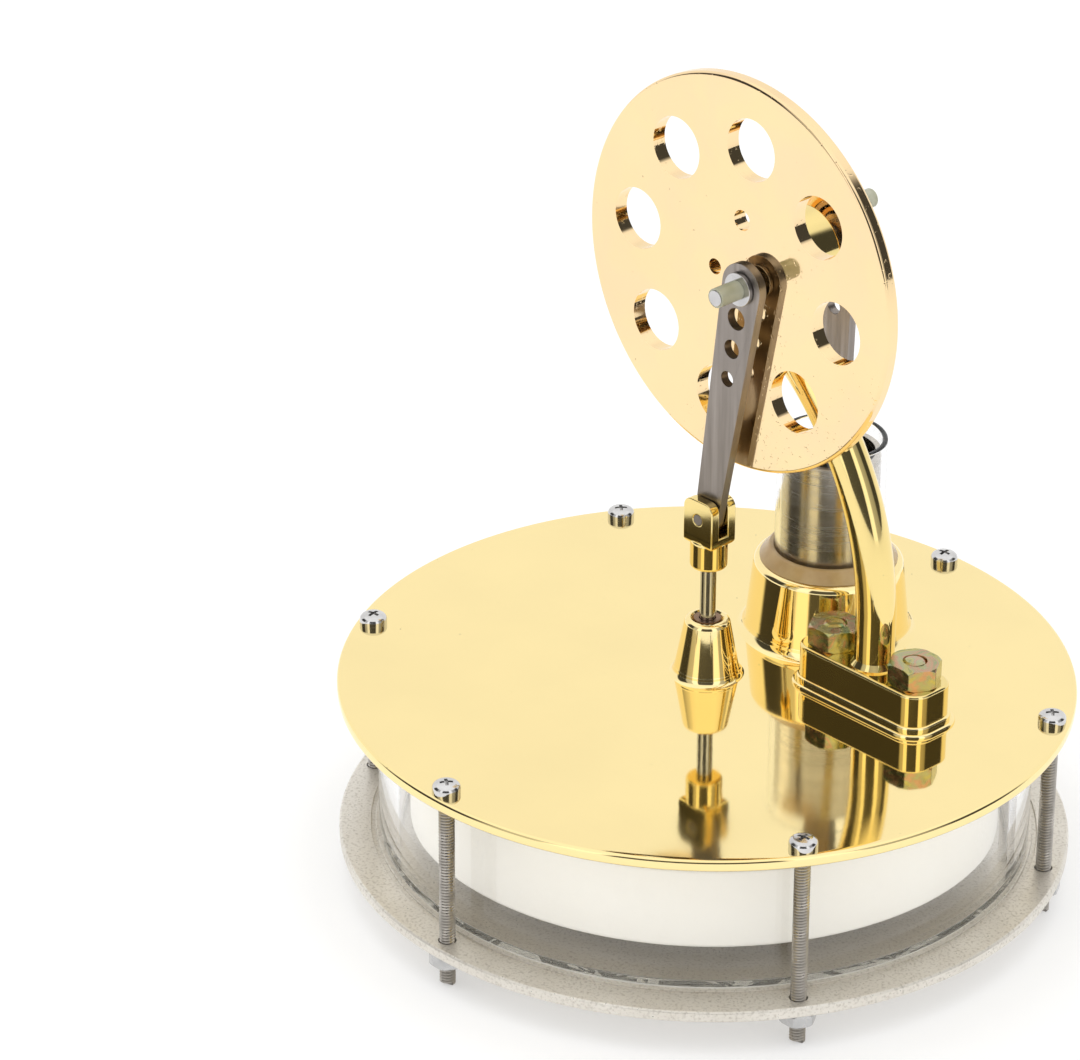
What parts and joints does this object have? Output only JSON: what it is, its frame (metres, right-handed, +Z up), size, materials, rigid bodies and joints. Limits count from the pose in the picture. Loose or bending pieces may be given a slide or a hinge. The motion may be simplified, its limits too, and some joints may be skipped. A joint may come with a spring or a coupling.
{
  "type": "stirling engine model",
  "caption": "Low-temperature-difference stirling engine: two round plates hold a clear chamber, with a flywheel on a curved column driving a displacer and a piston in a glass tube.",
  "frame": {"origin": "middle of the six screw feet, in the plane of their ends, under the displacer rod", "axes": "+Z up, crankshaft along Y with the flywheel at the front (-Y) and the glass cylinder at the back, +X towards the column's foot"},
  "size_m": [0.092, 0.092, 0.1058],
  "materials": {
    "gold_plate": "gold-plated and mirror polished",
    "base_aluminium": "satin, turned",
    "clear_acrylic": "clear and polished",
    "gasket_film": "thin pale gasket",
    "bearing_bronze": "dark bronze",
    "chromed_screw": "bright plated",
    "zinc_nut": "pale zinc plated",
    "yellow_zinc": "yellow zinc plated",
    "clear_glass": "clear tube",
    "amber_glue": "translucent amber",
    "bearing_steel": "ground",
    "cage_brass": "pressed",
    "polished_steel": "polished",
    "rod_steel": "grey, brushed along its length",
    "piston_steel": "dark, turned",
    "milky_sleeve": "milky translucent tube",
    "white_foam": "closed-cell foam"
  },
  "bodies": {
    "frame_body": {"base_plate": "base_aluminium", "lower_gasket": "gasket_film", "acrylic_ring": "clear_acrylic", "upper_gasket": "gasket_film", "top_plate": "gold_plate", "gland_bush": "bearing_bronze", "chamber_screw_1": "chromed_screw", "chamber_screw_2": "chromed_screw", "chamber_screw_3": "chromed_screw", "chamber_screw_4": "chromed_screw", "chamber_screw_5": "chromed_screw", "chamber_screw_6": "chromed_screw", "chamber_nut_1": "zinc_nut", "chamber_nut_2": "zinc_nut", "chamber_nut_3": "zinc_nut", "chamber_nut_4": "zinc_nut", "chamber_nut_5": "zinc_nut", "chamber_nut_6": "zinc_nut", "column": "gold_plate", "column_stud_1": "yellow_zinc", "column_stud_2": "yellow_zinc", "column_nut_1": "yellow_zinc", "column_nut_2": "yellow_zinc", "glass_cylinder": "clear_glass", "cylinder_glue": "amber_glue", "front_bearing_outer_race": "bearing_steel", "rear_bearing_outer_race": "bearing_steel", "front_bearing_cage": "cage_brass", "front_bearing_balls": "bearing_steel"},
    "crank": {"crankshaft": "bearing_steel", "flywheel": "gold_plate", "crank_disc": "gold_plate", "front_spacer": "bearing_bronze", "rear_spacer": "bearing_steel", "front_bearing_inner_race": "bearing_steel", "rear_bearing_inner_race": "bearing_steel"},
    "rear_ball_set": {"rear_bearing_cage": "cage_brass", "rear_bearing_balls": "bearing_steel"},
    "side_ball": {"front_bearing_side_ball": "bearing_steel"},
    "displacer_pin_set": {"displacer_crank_pin": "polished_steel", "displacer_inner_washer": "polished_steel", "displacer_outer_washer": "polished_steel", "displacer_pin_sleeve": "milky_sleeve"},
    "displacer_line": {"displacer_conrod": "rod_steel", "clevis": "gold_plate", "clevis_pin": "polished_steel", "displacer_rod": "polished_steel", "displacer": "white_foam", "displacer_hub_washer": "polished_steel", "displacer_hub_nut": "polished_steel"},
    "piston_pin_set": {"piston_crank_pin": "polished_steel", "piston_inner_washer": "polished_steel", "piston_outer_washer": "polished_steel", "piston_pin_sleeve": "milky_sleeve"},
    "piston_line": {"piston_conrod": "rod_steel", "piston": "piston_steel", "wrist_pin": "polished_steel"}
  },
  "joints": [
    {"name": "crank_spin", "type": "hinge", "parent": "frame_body", "child": "crank", "pos_m": [0.0017, 0.00985, 0.0808], "axis": [0, 1, 0], "continuous": true},
    {"name": "rear_ball_set_roll", "type": "hinge", "parent": "frame_body", "child": "rear_ball_set", "pos_m": [0.0017, 0.01285, 0.0808], "axis": [0, 1, 0], "continuous": true},
    {"name": "side_ball_roll", "type": "hinge", "parent": "frame_body", "child": "side_ball", "pos_m": [0.00495, 0.00685, 0.0808], "axis": [0, 1, 0], "continuous": true},
    {"name": "displacer_pin_turn", "type": "hinge", "parent": "side_ball", "child": "displacer_pin_set", "pos_m": [0.00658, 0, 0.0808], "axis": [0, 1, 0], "continuous": true},
    {"name": "displacer_travel", "type": "hinge", "parent": "displacer_pin_set", "child": "displacer_line", "pos_m": [0.00495, 0, 0.0808], "axis": [0, 1, 0], "continuous": true},
    {"name": "piston_pin_turn", "type": "hinge", "parent": "crank", "child": "piston_pin_set", "pos_m": [0.0017, 0.0198, 0.0824], "axis": [0, 1, 0], "continuous": true},
    {"name": "piston_travel", "type": "hinge", "parent": "piston_pin_set", "child": "piston_line", "pos_m": [0.0017, 0.0198, 0.084], "axis": [0, 1, 0], "continuous": true}
  ],
  "couplings": [
    {"joint": "rear_ball_set_roll", "follows": "crank_spin", "ratio": 0.38461},
    {"joint": "side_ball_roll", "follows": "crank_spin", "ratio": 1},
    {"joint": "displacer_pin_turn", "follows": "crank_spin", "ratio": -2},
    {"joint": "displacer_travel", "follows": "crank_spin", "ratio": 1},
    {"joint": "piston_pin_turn", "follows": "crank_spin", "ratio": -2},
    {"joint": "piston_travel", "follows": "crank_spin", "ratio": 1}
  ]
}
